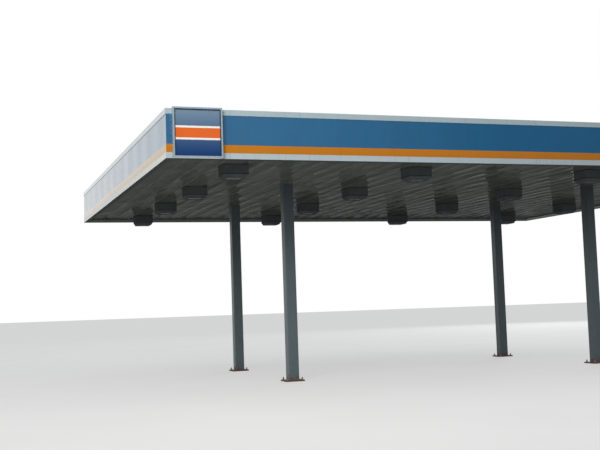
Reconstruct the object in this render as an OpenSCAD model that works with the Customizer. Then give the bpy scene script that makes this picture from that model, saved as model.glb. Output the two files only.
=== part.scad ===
// Filling station canopy: four square tube columns carry two main beams and three bays
// of purlins. Steel pans hang under the purlins as a flat soffit, and a banded fascia
// with a lit sign case runs round all four sides.

/* [Overall] */
// Width across the front fascia, outer face to outer face
canopy_w = 16040; // [14000:10:18000]
// Depth from the front fascia to the rear fascia, outer face to outer face
canopy_d = 13370; // [12400:10:15400]
// Height of the fascia's bottom edge above the ground
clearance = 4620; // [4100:10:5400]
// Height of the fascia
fascia_h = 955; // [900:5:1200]

/* [Columns] */
// Distance between column centres across the front
column_span_x = 8500; // [7000:50:10000]
// Distance between column centres from front to rear
column_span_y = 4840; // [4300:20:6400]
// Outside size of the square column tube
column_size = 254; // [203:1:305]
// Wall thickness of the column tube
column_wall = 9.5; // [6:0.5:16]
// Outside corner radius of the column tube
column_corner_r = 20; // [17:1:30]
// Side of the square base plate
base_plate_size = 457; // [440:1:600]
// Thickness of the base plate
base_plate_t = 32; // [20:1:50]
// Distance between anchor bolt holes
anchor_spacing = 356; // [340:1:370]
// Diameter of each anchor bolt hole
anchor_hole_d = 35; // [24:1:40]
// Side of the square cap plate on each column
cap_plate_size = 330; // [310:1:420]
// Thickness of the cap plate
cap_plate_t = 19; // [12:1:30]

/* [Main beams] */
// Depth of the main beam section
beam_depth = 407; // [350:1:460]
// Flange width of the main beam section
beam_flange_w = 178; // [140:1:210]
// Flange thickness of the main beam section
beam_flange_t = 12.8; // [9:0.1:20]
// Web thickness of the main beam section
beam_web_t = 7.7; // [6:0.1:12]
// How far each main beam runs past the axis of the end purlins
beam_overhang = 150; // [110:1:200]
// Thickness of the beams' web stiffeners over the columns
stiffener_t = 10; // [6:1:16]
// Distance of the stiffeners' outer edge from the edge of the flange
stiffener_inset = 6; // [2:1:20]

/* [Purlins] */
// Number of purlin rows from front to rear
purlin_rows = 6; // [5:1:7]
// Distance of the end purlins' axis from the fascia's outer face
purlin_inset = 450; // [400:5:600]
// Depth of the purlin section
purlin_depth = 258; // [200:1:310]
// Flange width of the purlin section
purlin_flange_w = 146; // [100:1:160]
// Flange thickness of the purlin section
purlin_flange_t = 9.1; // [6:0.1:14]
// Web thickness of the purlin section
purlin_web_t = 6.1; // [5:0.1:9]
// Gap left round a main beam's flange where a purlin is cut back
cope_gap = 12; // [5:1:25]

/* [Deck] */
// Nominal width of one deck pan
pan_nominal_w = 406.4; // [304.8:0.4:508]
// Height of the upstanding ribs of a pan
pan_rib_h = 76; // [50:1:100]
// Thickness of the pan sheet
pan_t = 1; // [0.8:0.1:2]
// Bevel along each lower edge of a pan, which shows as a line on the soffit
pan_bevel = 7; // [3:1:12]
// Width of the lips on top of the ribs
pan_lip = 14; // [8:1:24]
// Gap between neighbouring pans
pan_gap = 0.6; // [0.3:0.1:2]
// Height of the soffit above the fascia's bottom edge
soffit_rise = 68; // [46:1:120]
// Distance of the first pan's outer rib from the fascia's outer face
deck_edge = 95; // [60:1:130]
// Clearance of the deck round each column
column_clear = 12; // [6:1:30]
// Width of the collar plate that trims the deck round each column
collar_w = 45; // [30:1:80]
// Gap between a collar and its column
collar_gap = 2; // [1:0.5:5]

/* [Gutters] */
// Width of the front and rear gutters
gutter_w = 150; // [120:1:200]
// Height of the gutters' outer wall
gutter_h = 120; // [80:1:160]
// Thickness of the gutter sheet
gutter_t = 1.5; // [1:0.1:3]
// How far the pans reach over the gutters
pan_overhang = 60; // [30:1:100]

/* [Fascia] */
// Height of the coping's outer leg
coping_h = 110; // [70:1:140]
// Width of the coping's top
coping_top_w = 80; // [60:1:100]
// Height of the coping's inner leg
coping_back_h = 40; // [20:1:70]
// Thickness of the coping and trim sheet
trim_t = 3; // [2:0.5:5]
// Height of the bottom trim's outer leg
trim_h = 113; // [90:1:130]
// Width of the bottom trim's return under the fascia
trim_return = 120; // [100:1:150]
// Gap between the side trims' upstand and the soffit
soffit_gap = 0.3; // [0.2:0.1:2]
// Distance of the panels' face behind the coping's face
panel_setback = 10; // [6:1:20]
// Thickness of the fascia panels
panel_t = 4; // [3:0.5:8]
// Width of the seams between fascia panels
seam_w = 6; // [3:1:12]
// Width of the front and rear fascia's corner panels
corner_panel_w = 3515; // [2500:5:4500]
// Number of panels between the corner panels, front and rear
middle_panels = 2; // [1:1:4]
// Number of panels on each side fascia
side_panels = 3; // [2:1:5]
// Height of the coloured stripe above the bottom trim
stripe_h = 158; // [100:1:200]
// How far the stripe stands out from the panels
stripe_t = 7; // [2:0.5:9]

/* [Fascia frame] */
// Side of the square bars of the fascia frame
rail_size = 38; // [30:1:40]
// Nominal distance between the frame's posts, front and rear
post_pitch = 1220; // [900:10:1400]
// Gap between the frames where they meet at a corner
frame_gap = 1; // [0.5:0.5:4]

/* [Sign] */
// Width and height of the square sign case
sign_size = 965; // [800:5:1100]
// Depth of the sign case
sign_depth = 120; // [80:1:180]
// Distance of the sign case from the fascia's left corner
sign_inset = 116; // [60:2:400]
// Height of the sign case's bottom above the fascia's bottom edge
sign_rise = 0; // [0:1:60]
// Width of the retaining frame that shows round the face
sign_frame_w = 32; // [25:1:60]
// Depth of the retaining frame, which is how far the face is recessed
sign_frame_d = 30; // [10:1:40]
// Thickness of the sign case's walls
sign_wall = 4; // [2:0.5:8]
// Thickness of the sign face
sign_face_t = 5; // [3:0.5:8]

/* [Lights] */
// Side of the square light housings
light_size = 508; // [406:2:610]
// Height of the upright part of a light housing
light_body_h = 200; // [120:1:260]
// Height of the tapered door frame below it
light_door_h = 80; // [40:1:120]
// Side of the door frame at its bottom
light_door_size = 420; // [380:2:460]
// Side of the square lens
light_lens_size = 350; // [300:5:370]
// Thickness of the lens
light_lens_t = 6; // [4:0.5:10]
// Distance of the lens above the door frame's bottom edge
light_lens_recess = 14; // [6:1:30]
// Half the distance between the two inner columns of lights
light_inner_x = 2230; // [1600:10:3000]
// Half the distance between the two outer columns of lights
light_outer_x = 6370; // [5600:10:6900]
// Distance between rows of lights
light_pitch_y = 3600; // [2900:10:3900]

/* [Wiring] */
// Side of the square junction boxes above the lights
box_size = 150; // [100:5:200]
// Height of the junction boxes
box_h = 130; // [125:1:160]
// Diameter of the conduits between the boxes
conduit_d = 27; // [16:1:30]
// Gap round a conduit where it passes a main beam's web
conduit_gap = 5; // [2:0.5:10]

/* [Hidden] */
$fn = 48;

eps = 0.01;
// The origin is the centre of the box round the whole canopy, so the sign case moves it
centre_y = sign_depth / 2;
front_y = centre_y - canopy_d / 2;
rear_y = centre_y + canopy_d / 2;
// Levels
soffit_z = clearance + soffit_rise;
steel_z = soffit_z + pan_rib_h;
column_top_z = steel_z - cap_plate_t;
fascia_top_z = clearance + fascia_h;
// The frame stands behind the panels
frame_front = panel_setback + panel_t;
frame_back = frame_front + rail_size;
rail_low_z = clearance + trim_t;
rail_high_z = fascia_top_z - trim_t - rail_size;
// Pans
deck_w = canopy_w - 2 * deck_edge;
pan_count = round(deck_w / pan_nominal_w);
pan_pitch = deck_w / pan_count;
gutter_front_in = frame_back + gutter_t;
pan_end = gutter_front_in + gutter_w - pan_overhang;
bays = 3;
// Purlin rows
purlin_span = canopy_d - 2 * purlin_inset;
purlin_ys = [for (i = [0:purlin_rows - 1])
    front_y + purlin_inset + i * purlin_span / (purlin_rows - 1)];
purlin_top_z = steel_z + purlin_depth;
purlin_end_x = canopy_w / 2 - frame_back;
beam_half = canopy_d / 2 - purlin_inset + beam_overhang;
cope_x = beam_flange_w / 2 + cope_gap;
// Frame posts: the front and rear ones stand clear of the main beams, and those of the
// sides stand at the purlins and midway between them
front_len = canopy_w - 2 * frame_front;
side_len = canopy_d - 2 * (frame_back + frame_gap);
mid_posts = round(column_span_x / post_pitch);
mid_pitch = column_span_x / mid_posts;
end_post_x = front_len / 2 - rail_size / 2;
outer_run = end_post_x - column_span_x / 2 - mid_pitch / 2;
outer_steps = ceil(outer_run / post_pitch);
outer_xs = [for (i = [0:outer_steps]) end_post_x - i * outer_run / outer_steps];
mid_xs = [for (i = [0.5:1:mid_posts - 0.5]) i * mid_pitch - column_span_x / 2];
front_post_xs = concat(outer_xs, mid_xs, [for (x = outer_xs) -x]);
side_reach = canopy_d / 2 - purlin_inset;
side_steps = 2 * (purlin_rows - 1);
side_post_xs = concat(
    [rail_size / 2 - side_len / 2, side_len / 2 - rail_size / 2],
    [for (i = [0:side_steps]) (2 * i / side_steps - 1) * side_reach]);
// Panels
middle_panel_w = (canopy_w - 2 * corner_panel_w) / middle_panels;
panel_low_z = clearance + trim_t;
panel_high_z = fascia_top_z - trim_t;
stripe_low_z = clearance + trim_h;
// Lights
light_xs = [-light_outer_x, -light_inner_x, light_inner_x, light_outer_x];
light_ys = [for (i = [-1.5:1:1.5]) centre_y + i * light_pitch_y];
light_low_z = soffit_z - light_body_h - light_door_h;
lens_low_z = light_low_z + light_lens_recess;
// Junction boxes stand on the pans, and the conduits lie on the main beams' bottom flanges
pan_floor_z = soffit_z + pan_t;
conduit_z = steel_z + beam_flange_t + conduit_d / 2;
column_x = column_span_x / 2;
column_y = column_span_y / 2;

// Middle of the pan that lies over a place across the canopy
function pan_middle(x) =
    (floor((x + deck_w / 2) / pan_pitch) + 0.5) * pan_pitch - deck_w / 2;

// A square with round corners, centred
module round_square(side, r) {
    square([side, side - 2 * r], center = true);
    square([side - 2 * r, side], center = true);
    for (x = [-1, 1], y = [-1, 1])
        translate([x * (side / 2 - r), y * (side / 2 - r)]) circle(r = r);
}

// Cross-section of a rolled I beam, its bottom flange on y = 0
module i_section(depth, flange_w, flange_t, web_t) {
    translate([-flange_w / 2, 0]) square([flange_w, flange_t]);
    translate([-flange_w / 2, depth - flange_t]) square([flange_w, flange_t]);
    translate([-web_t / 2, 0]) square([web_t, depth]);
}

// Turns an outline drawn in (across, up) into a bar that runs along Y from y0 to y1
module along_y(y0, y1) {
    translate([0, y1, 0]) rotate([90, 0, 0]) linear_extrude(height = y1 - y0) children();
}

// Turns an outline drawn in (across, up) into a bar that runs along X from x0 to x1
module along_x(x0, x1) {
    translate([x0, 0, 0]) rotate([90, 0, 90]) linear_extrude(height = x1 - x0) children();
}

// Places a piece at each column
module at_column(sx, sy) {
    translate([sx * column_x, centre_y + sy * column_y, 0]) children();
}

// A column: square tube with its cap plate welded on
module column(sx, sy) {
    color("lightslategray") at_column(sx, sy) {
        translate([0, 0, base_plate_t]) linear_extrude(height = column_top_z - base_plate_t + eps)
            difference() {
                round_square(column_size, column_corner_r);
                round_square(column_size - 2 * column_wall, column_corner_r - column_wall);
            }
        translate([0, 0, column_top_z + cap_plate_t / 2])
            cube([cap_plate_size, cap_plate_size, cap_plate_t], center = true);
    }
}

// A base plate with four anchor holes
module base_plate(sx, sy) {
    color("slategray") at_column(sx, sy) linear_extrude(height = base_plate_t) difference() {
        square(base_plate_size, center = true);
        for (x = [-1, 1], y = [-1, 1])
            translate([x * anchor_spacing / 2, y * anchor_spacing / 2]) circle(d = anchor_hole_d);
    }
}

// A main beam from front to rear over two columns, holed for the conduits and with web
// stiffeners over the column walls
module main_beam(sx) {
    stiffener_w = beam_flange_w - 2 * stiffener_inset;
    color("silver") translate([sx * column_x, 0, 0]) {
        difference() {
            translate([0, 0, steel_z]) along_y(centre_y - beam_half, centre_y + beam_half)
                i_section(beam_depth, beam_flange_w, beam_flange_t, beam_web_t);
            for (y = light_ys) translate([-beam_web_t, y, conduit_z]) rotate([0, 90, 0])
                cylinder(d = conduit_d + 2 * conduit_gap, h = 2 * beam_web_t);
        }
        for (sy = [-1, 1], wall = [-1, 1])
            translate([0, centre_y + sy * column_y + wall * (column_size - column_wall) / 2,
                    steel_z + beam_depth / 2])
                cube([stiffener_w, stiffener_t, beam_depth - 2 * beam_flange_t + 2 * eps],
                    center = true);
    }
}

// One length of purlin, cut back to its web where it meets a beam
module purlin(x0, x1, cope0, cope1) {
    translate([0, 0, steel_z]) {
        along_x(x0 + cope0, x1 - cope1)
            i_section(purlin_depth, purlin_flange_w, purlin_flange_t, purlin_web_t);
        translate([x0, -purlin_web_t / 2, beam_flange_t + cope_gap])
            cube([x1 - x0, purlin_web_t, purlin_depth - 2 * beam_flange_t - 2 * cope_gap]);
    }
}

// The purlins of the middle bay or of an outer bay
module purlin_row(bay) {
    web_x = column_x - beam_web_t / 2;
    cope = cope_x - beam_web_t / 2;
    color("silver") for (y = purlin_ys) translate([0, y, 0]) {
        if (bay == 0) purlin(-web_x, web_x, cope, cope);
        if (bay < 0) purlin(-purlin_end_x, -web_x - beam_web_t, 0, cope);
        if (bay > 0) purlin(web_x + beam_web_t, purlin_end_x, cope, 0);
    }
}

// Cross-section of one pan: a flat floor with bevelled edges, a plain rib on the left and
// a rib on the right whose lip reaches over the next pan's rib
module pan_section() {
    w = pan_pitch - pan_gap;
    b = pan_bevel;
    t = pan_t;
    c = t * 0.42;
    hook = 2 * pan_t + 2 * pan_gap;
    polygon([
        [0, b], [b, 0], [w - b, 0], [w, b],
        [w, pan_rib_h - t], [w + hook, pan_rib_h - t], [w + hook, pan_rib_h - pan_lip],
        [w + hook + t, pan_rib_h - pan_lip], [w + hook + t, pan_rib_h], [w - t, pan_rib_h],
        [w - t, b + c], [w - b - c, t], [b + c, t], [t, b + c],
        [t, pan_rib_h - 2 * t - pan_gap], [0, pan_rib_h - 2 * t - pan_gap]
    ]);
}

// The last pan's outer rib has no neighbour to reach over
module last_pan_section() {
    intersection() {
        pan_section();
        square([pan_pitch - pan_gap, pan_rib_h]);
    }
}

// The pans of one bay, cut out round the columns and notched for their cap plates
module deck(bay) {
    first = floor(pan_count * bay / bays);
    last = floor(pan_count * (bay + 1) / bays) - 1;
    hole = column_size + 2 * column_clear;
    notch = cap_plate_size + 2 * column_clear;
    color("gray") difference() {
        for (i = [first:last])
            translate([-deck_w / 2 + i * pan_pitch + pan_gap / 2, 0, soffit_z])
                along_y(front_y + pan_end, rear_y - pan_end)
                    if (i == pan_count - 1) last_pan_section(); else pan_section();
        for (sx = [-1, 1], sy = [-1, 1]) at_column(sx, sy) {
            translate([-hole / 2, -hole / 2, soffit_z - 1]) cube([hole, hole, pan_rib_h + 2]);
            translate([-notch / 2, -notch / 2, column_top_z - column_clear])
                cube([notch, notch, cap_plate_t + column_clear + 1]);
        }
    }
}

// Plates under the soffit that trim the holes round the columns
module column_collars() {
    inner = column_size + 2 * collar_gap;
    outer = column_size + 2 * (column_clear + collar_w);
    color("gray") for (sx = [-1, 1], sy = [-1, 1]) at_column(sx, sy)
        translate([0, 0, soffit_z - pan_t]) linear_extrude(height = pan_t) difference() {
            square(outer, center = true);
            round_square(inner, column_corner_r + collar_gap);
        }
}

// A gutter inside the front or rear fascia, closed at both ends
module gutter(sy) {
    z0 = clearance + trim_t;
    low = soffit_z - z0;
    half = canopy_w / 2 - trim_return - frame_gap;
    t = gutter_t;
    color("gainsboro") translate([0, centre_y, 0]) scale([1, sy, 1])
        translate([0, canopy_d / 2 - gutter_front_in - gutter_w, z0]) {
            along_x(-half, half) polygon([
                [0, 0], [gutter_w, 0], [gutter_w, gutter_h], [gutter_w - t, gutter_h],
                [gutter_w - t, t], [t, t], [t, low], [0, low]
            ]);
            for (x = [-half, half - t])
                translate([x, 0, 0]) cube([t, gutter_w, low]);
        }
}

// Turns a piece drawn for the front, its outer face on y = 0 and inward along +Y
module on_side(side) {
    if (side == "front") translate([0, front_y, 0]) children();
    if (side == "rear") translate([0, rear_y, 0]) rotate([0, 0, 180]) children();
    if (side == "left") translate([-canopy_w / 2, centre_y, 0]) rotate([0, 0, -90]) children();
    if (side == "right") translate([canopy_w / 2, centre_y, 0]) rotate([0, 0, 90]) children();
}

function side_length(side) = (side == "front" || side == "rear") ? canopy_w : canopy_d;

// Runs an outline along one side and mitres both ends
module mitred(side) {
    l = side_length(side);
    deep = trim_return + coping_top_w;
    on_side(side) intersection() {
        along_x(-l / 2, l / 2) children();
        translate([0, 0, clearance - 1]) linear_extrude(height = fascia_h + 2)
            polygon([[-l / 2, 0], [l / 2, 0], [l / 2 - deep, deep], [-l / 2 + deep, deep]]);
    }
}

// The cap over the top of the fascia, with a lip that closes on the panels
module coping(side) {
    t = trim_t;
    color("lightgray") mitred(side) translate([0, fascia_top_z]) polygon([
        [0, 0], [0, -coping_h], [panel_setback, -coping_h], [panel_setback, t - coping_h],
        [t, t - coping_h], [t, -t], [coping_top_w - t, -t], [coping_top_w - t, -coping_back_h],
        [coping_top_w, -coping_back_h], [coping_top_w, 0]
    ]);
}

// The trim under the fascia, with a return that carries the frame. At the sides the return
// turns up to the soffit. At the front and rear the gutter closes that step.
module bottom_trim(side) {
    t = trim_t;
    color("whitesmoke") mitred(side) translate([0, clearance]) {
        polygon([
            [0, 0], [trim_return, 0], [trim_return, t], [t, t], [t, trim_h - t],
            [panel_setback, trim_h - t], [panel_setback, trim_h], [0, trim_h]
        ]);
        if (side == "left" || side == "right")
            translate([trim_return - t, 0]) square([t, soffit_rise - soffit_gap]);
    }
}

// The coloured stripe on the panels, with a curved face
module stripe(side) {
    sag = stripe_t * 0.6;
    r = (stripe_h * stripe_h / 4 + sag * sag) / (2 * sag);
    color("darkorange") mitred(side) translate([panel_setback, stripe_low_z]) intersection() {
        translate([-stripe_t, 0]) square([stripe_t, stripe_h]);
        translate([r - stripe_t, stripe_h / 2]) circle(r = r, $fn = 360);
    }
}

// The flat panels of one side, with open seams between them
module fascia_panel(side) {
    long = side == "front" || side == "rear";
    l = side_length(side);
    reach = long ? l / 2 - panel_setback : l / 2 - panel_setback - panel_t - frame_gap;
    seams = long
        ? [for (i = [0:middle_panels]) -l / 2 + corner_panel_w + i * middle_panel_w]
        : [for (i = [1:side_panels - 1]) -l / 2 + i * l / side_panels];
    edges = concat([-reach - seam_w / 2], seams, [reach + seam_w / 2]);
    color("steelblue") on_side(side) for (i = [0:len(edges) - 2])
        translate([edges[i] + seam_w / 2, panel_setback, panel_low_z])
            cube([edges[i + 1] - edges[i] - seam_w, panel_t, panel_high_z - panel_low_z]);
}

// A ladder of square bars that carries the panels of one side
module fascia_frame(side) {
    long = side == "front" || side == "rear";
    l = long ? front_len : side_len;
    post_xs = long ? front_post_xs : side_post_xs;
    color("silver") on_side(side) translate([0, frame_front, 0]) {
        for (z = [rail_low_z, rail_high_z])
            translate([-l / 2, 0, z]) cube([l, rail_size, rail_size]);
        for (x = post_xs)
            translate([x - rail_size / 2, 0, rail_low_z + rail_size - eps])
                cube([rail_size, rail_size, rail_high_z - rail_low_z - rail_size + 2 * eps]);
    }
}

// Arms from the front and rear frames' posts back over the end purlins, apart from the
// corner posts
module fascia_arms() {
    color("silver") for (side = ["front", "rear"]) on_side(side)
        for (x = front_post_xs) if (abs(x) < end_post_x - 1)
            translate([x - rail_size / 2, frame_back, purlin_top_z])
                cube([rail_size, purlin_inset - frame_back + purlin_flange_w / 2, rail_size]);
}

// Places a piece at the sign case's lower left corner, on the fascia's outer face
module at_sign() {
    translate([-canopy_w / 2 + sign_inset, front_y, clearance + sign_rise]) children();
}

// The sign case: an open box with a thick retaining frame in front
module sign_case() {
    s = sign_size;
    color("lightsteelblue") at_sign() difference() {
        translate([0, -sign_depth, 0]) cube([s, sign_depth, s]);
        translate([sign_wall, sign_frame_d - sign_depth, sign_wall])
            cube([s - 2 * sign_wall, sign_depth - sign_frame_d - sign_wall, s - 2 * sign_wall]);
        translate([sign_frame_w, -sign_depth - 1, sign_frame_w])
            cube([s - 2 * sign_frame_w, sign_frame_d + 2, s - 2 * sign_frame_w]);
    }
}

// The plain translucent face behind the retaining frame
module sign_face() {
    edge = sign_wall + collar_gap;
    side = sign_size - 2 * edge;
    color("royalblue") at_sign() translate([edge, sign_frame_d - sign_depth, edge])
        cube([side, sign_face_t, side]);
}

module at_lights() {
    for (x = light_xs, y = light_ys) translate([x, y, 0]) children();
}

// Upright housings with tapered door frames round the lenses
module light_housings() {
    t = light_size / 2;
    b = light_door_size / 2;
    z0 = light_low_z;
    z1 = light_low_z + light_door_h;
    color("dimgray") at_lights() difference() {
        polyhedron(
            points = [
                [-b, -b, z0], [b, -b, z0], [b, b, z0], [-b, b, z0],
                [-t, -t, z1], [t, -t, z1], [t, t, z1], [-t, t, z1],
                [-t, -t, soffit_z], [t, -t, soffit_z], [t, t, soffit_z], [-t, t, soffit_z]
            ],
            faces = [
                [0, 1, 2, 3], [11, 10, 9, 8],
                [4, 5, 1, 0], [5, 6, 2, 1], [6, 7, 3, 2], [7, 4, 0, 3],
                [8, 9, 5, 4], [9, 10, 6, 5], [10, 11, 7, 6], [11, 8, 4, 7]
            ]);
        translate([-light_lens_size / 2, -light_lens_size / 2, z0 - 1])
            cube([light_lens_size, light_lens_size, light_lens_recess + light_lens_t + 1]);
    }
}

// The lenses, recessed in the door frames
module light_lenses() {
    side = light_lens_size - 2 * collar_gap;
    color("lightcyan") at_lights() translate([-side / 2, -side / 2, lens_low_z])
        cube([side, side, light_lens_t]);
}

// Junction boxes on the pans above the lights, joined by a conduit along each row
module light_wiring() {
    box_xs = [for (x = light_xs) pan_middle(x)];
    color("darkgray") for (y = light_ys) translate([0, y, 0]) {
        for (x = box_xs) translate([x - box_size / 2, -box_size / 2, pan_floor_z])
            cube([box_size, box_size, box_h]);
        translate([box_xs[0], 0, conduit_z]) rotate([0, 90, 0])
            cylinder(d = conduit_d, h = box_xs[3] - box_xs[0]);
    }
}

column(-1, -1);  // column_front_left
column(1, -1);  // column_front_right
column(-1, 1);  // column_rear_left
column(1, 1);  // column_rear_right
base_plate(-1, -1);  // base_plate_front_left
base_plate(1, -1);  // base_plate_front_right
base_plate(-1, 1);  // base_plate_rear_left
base_plate(1, 1);  // base_plate_rear_right
main_beam(-1);  // main_beam_left
main_beam(1);  // main_beam_right
purlin_row(-1);  // purlins_left
purlin_row(0);  // purlins_middle
purlin_row(1);  // purlins_right
deck(0);  // deck_left
deck(1);  // deck_middle
deck(2);  // deck_right
column_collars();
gutter(-1);  // gutter_front
gutter(1);  // gutter_rear
fascia_frame("front");  // fascia_frame_front
fascia_frame("rear");  // fascia_frame_rear
fascia_frame("left");  // fascia_frame_left
fascia_frame("right");  // fascia_frame_right
fascia_arms();
fascia_panel("front");  // fascia_panel_front
fascia_panel("rear");  // fascia_panel_rear
fascia_panel("left");  // fascia_panel_left
fascia_panel("right");  // fascia_panel_right
coping("front");  // coping_front
coping("rear");  // coping_rear
coping("left");  // coping_left
coping("right");  // coping_right
stripe("front");  // stripe_front
stripe("rear");  // stripe_rear
stripe("left");  // stripe_left
stripe("right");  // stripe_right
bottom_trim("front");  // bottom_trim_front
bottom_trim("rear");  // bottom_trim_rear
bottom_trim("left");  // bottom_trim_left
bottom_trim("right");  // bottom_trim_right
sign_case();
sign_face();
light_housings();
light_lenses();
light_wiring();
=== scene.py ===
"""Dresses the filling station canopy: finishes for its steel, sheet and panels, and the bolts,
welds, clips and trims that repeat along them. Lengths are in metres."""
import math

import bpy
from mathutils import Matrix, Vector


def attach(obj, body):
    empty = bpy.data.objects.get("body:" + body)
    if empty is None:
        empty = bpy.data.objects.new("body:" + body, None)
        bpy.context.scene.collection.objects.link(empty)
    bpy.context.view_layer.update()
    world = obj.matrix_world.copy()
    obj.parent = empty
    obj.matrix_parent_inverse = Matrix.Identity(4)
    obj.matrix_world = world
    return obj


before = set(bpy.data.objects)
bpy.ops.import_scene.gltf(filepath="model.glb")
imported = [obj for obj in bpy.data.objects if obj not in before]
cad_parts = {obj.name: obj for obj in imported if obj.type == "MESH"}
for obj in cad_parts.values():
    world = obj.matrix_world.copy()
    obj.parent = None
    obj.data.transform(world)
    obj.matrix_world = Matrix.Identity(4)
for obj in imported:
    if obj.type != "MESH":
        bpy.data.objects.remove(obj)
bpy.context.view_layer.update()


# Sizes that the CAD nodes have

CANOPY_W = 16.04
CANOPY_D = 13.37
CENTRE_Y = 0.06
FRONT_Y = CENTRE_Y - CANOPY_D / 2
REAR_Y = CENTRE_Y + CANOPY_D / 2
CLEARANCE = 4.62
FASCIA_TOP = 5.575
SOFFIT_Z = 4.688
STEEL_Z = 4.764
PURLIN_H = 0.258
BASE_TOP = 0.032
DECK_W = 15.85
PAN_COUNT = 39
PAN_PITCH = DECK_W / PAN_COUNT
POST_PITCH = 1.22
SEAM_XS = (-4.505, 0.0, 4.505)
SEAM_YS = (CENTRE_Y - CANOPY_D / 6, CENTRE_Y + CANOPY_D / 6)
COLUMN_X = 4.25
COLUMN_Y = 2.42
COLUMNS = [(x, CENTRE_Y + y) for x in (-COLUMN_X, COLUMN_X) for y in (-COLUMN_Y, COLUMN_Y)]
PURLIN_YS = [FRONT_Y + 0.45 + i * (CANOPY_D - 0.9) / 5 for i in range(6)]
RIB_XS = [-DECK_W / 2 + i * PAN_PITCH for i in range(1, PAN_COUNT)]
ARMS_ON_RIGHT = (6.944, 5.9, 4.857, 3.643, 2.429, 1.214)
ARM_XS = [-x for x in ARMS_ON_RIGHT] + [0.0, *ARMS_ON_RIGHT]
LIGHT_XS = (-6.37, -2.23, 2.23, 6.37)
LIGHT_YS = [CENTRE_Y + i * 3.6 for i in (-1.5, -0.5, 0.5, 1.5)]
LIGHTS = [(x, y) for x in LIGHT_XS for y in LIGHT_YS]
HOUSING_HALF = 0.254
DOOR_TOP = SOFFIT_Z - 0.2
DOOR_LOW = DOOR_TOP - 0.08
LENS_LOW = DOOR_LOW + 0.014
BOX_XS = (-6.5026, -2.0321, 2.0321, 6.5026)
BOX_HALF = 0.075
BOX_TOP = SOFFIT_Z + 0.131
CONDUIT_Z = STEEL_Z + 0.0128 + 0.0135
SIGN_LEFT = 0.116 - CANOPY_W / 2
SIGN_SIDE = 0.965
SIGN_FACE_Y = FRONT_Y - 0.09


# Nodes

class Output:
    """What a node puts out. Arithmetic with it adds the node that works it out."""

    def __init__(self, net, socket):
        self.net = net
        self.socket = socket

    def __add__(self, other):
        return self.net.math("ADD", self, other)

    def __sub__(self, other):
        return self.net.math("SUBTRACT", self, other)

    def __rsub__(self, other):
        return self.net.math("SUBTRACT", other, self)

    def __mul__(self, other):
        return self.net.math("MULTIPLY", self, other)

    def __truediv__(self, other):
        return self.net.math("DIVIDE", self, other)

    def __rtruediv__(self, other):
        return self.net.math("DIVIDE", other, self)

    def part(self, axis):
        """A vector's part along an axis."""
        return self.net.out("ShaderNodeSeparateXYZ", {"Vector": self}, axis)


class Net:
    """Adds nodes to a tree."""

    def __init__(self, tree):
        self.tree = tree

    def fill(self, node, inputs):
        """Fills inputs by name or number, each with a value or with an output to link."""
        for label, value in inputs.items():
            if isinstance(value, Output):
                self.tree.links.new(value.socket, node.inputs[label])
            else:
                node.inputs[label].default_value = value

    def add(self, kind, inputs=None, **settings):
        made = self.tree.nodes.new(kind)
        for key, value in settings.items():
            setattr(made, key, value)
        self.fill(made, inputs or {})
        return made

    def outputs(self, node):
        return {socket.name: Output(self, socket) for socket in node.outputs}

    def out(self, kind, inputs=None, output=0, **settings):
        """Adds a node and returns one of its outputs, the first unless another is given."""
        return Output(self, self.add(kind, inputs, **settings).outputs[output])

    def math(self, operation, *values, clamp=False):
        return self.out("ShaderNodeMath", dict(enumerate(values)), operation=operation,
                        use_clamp=clamp)

    def spread(self, value, low, high, out_low=0.0, out_high=1.0):
        """Takes low to high onto out_low to out_high, held at both ends."""
        return self.out("ShaderNodeMapRange", {
            "Value": value, "From Min": low, "From Max": high, "To Min": out_low,
            "To Max": out_high})

    def mix(self, amount, first, second):
        """Blends two numbers."""
        return self.out("ShaderNodeMix", {"Factor": amount, "A": first, "B": second})

    def blend(self, amount, first, second, kind="MIX"):
        """Blends two colours."""
        return self.out("ShaderNodeMix", {"Factor": amount, 6: first, 7: second}, 2,
                        data_type="RGBA", blend_type=kind)

    def coords(self):
        """Places on the canopy, the same for every piece."""
        return self.out("ShaderNodeTexCoord", output="Object")

    def normals(self):
        return self.out("ShaderNodeNewGeometry", output="Normal")

    def noise(self, scale, detail=3.0, roughness=0.5, distortion=0.0, stretch=None):
        """Noise all over the canopy, drawn out along the axes where a stretch is small."""
        place = self.coords()
        if stretch:
            place = self.out("ShaderNodeMapping", {"Vector": place, "Scale": stretch})
        return self.out("ShaderNodeTexNoise", {
            "Vector": place, "Scale": scale, "Detail": detail, "Roughness": roughness,
            "Distortion": distortion})


def spoken(label):
    """head_height becomes Head height, the name of a tree's input."""
    return label.replace("_", " ").capitalize()


def add_numbers(tree, numbers):
    """Gives a tree an input for each named number."""
    for label, value in numbers.items():
        socket = tree.interface.new_socket(
            spoken(label), in_out="INPUT", socket_type="NodeSocketFloat")
        socket.default_value = value


def rgb(red, green, blue):
    """A colour as it is read from a screen, 0 to 255, as Blender's own values."""
    values = []
    for value in (red, green, blue):
        part = value / 255.0
        values.append(part / 12.92 if part <= 0.04045 else ((part + 0.055) / 1.055) ** 2.4)
    return (*values, 1.0)


def new_object(name, data):
    made = bpy.data.objects.new(name, data)
    bpy.context.scene.collection.objects.link(made)
    return made


# Camera, floor and light

LENS = 59.083
EYE = (-11.642, -24.767, 1.749)
# The camera's turn about the upright, its tilt above level and its roll
HEADING = -0.3311
TILT = 0.0828
ROLL = -0.0336
FLOOR_HALF = 260.0
WHITE = (1.0, 1.0, 1.0, 1.0)
LAMP_SPREAD = math.radians(110.0)
LAMP_TARGET = Vector((0.0, 0.0, 3.5))
# Name, place, width, watts and colour of each lamp
LAMPS = (("key_lamp", (-14.0, -19.0, 11.0), 9.0, 880.0, (1.0, 0.98, 0.95)),
         ("rear_lamp", (34.0, 40.0, 13.0), 18.0, 2600.0, (0.95, 0.97, 1.0)))


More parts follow.
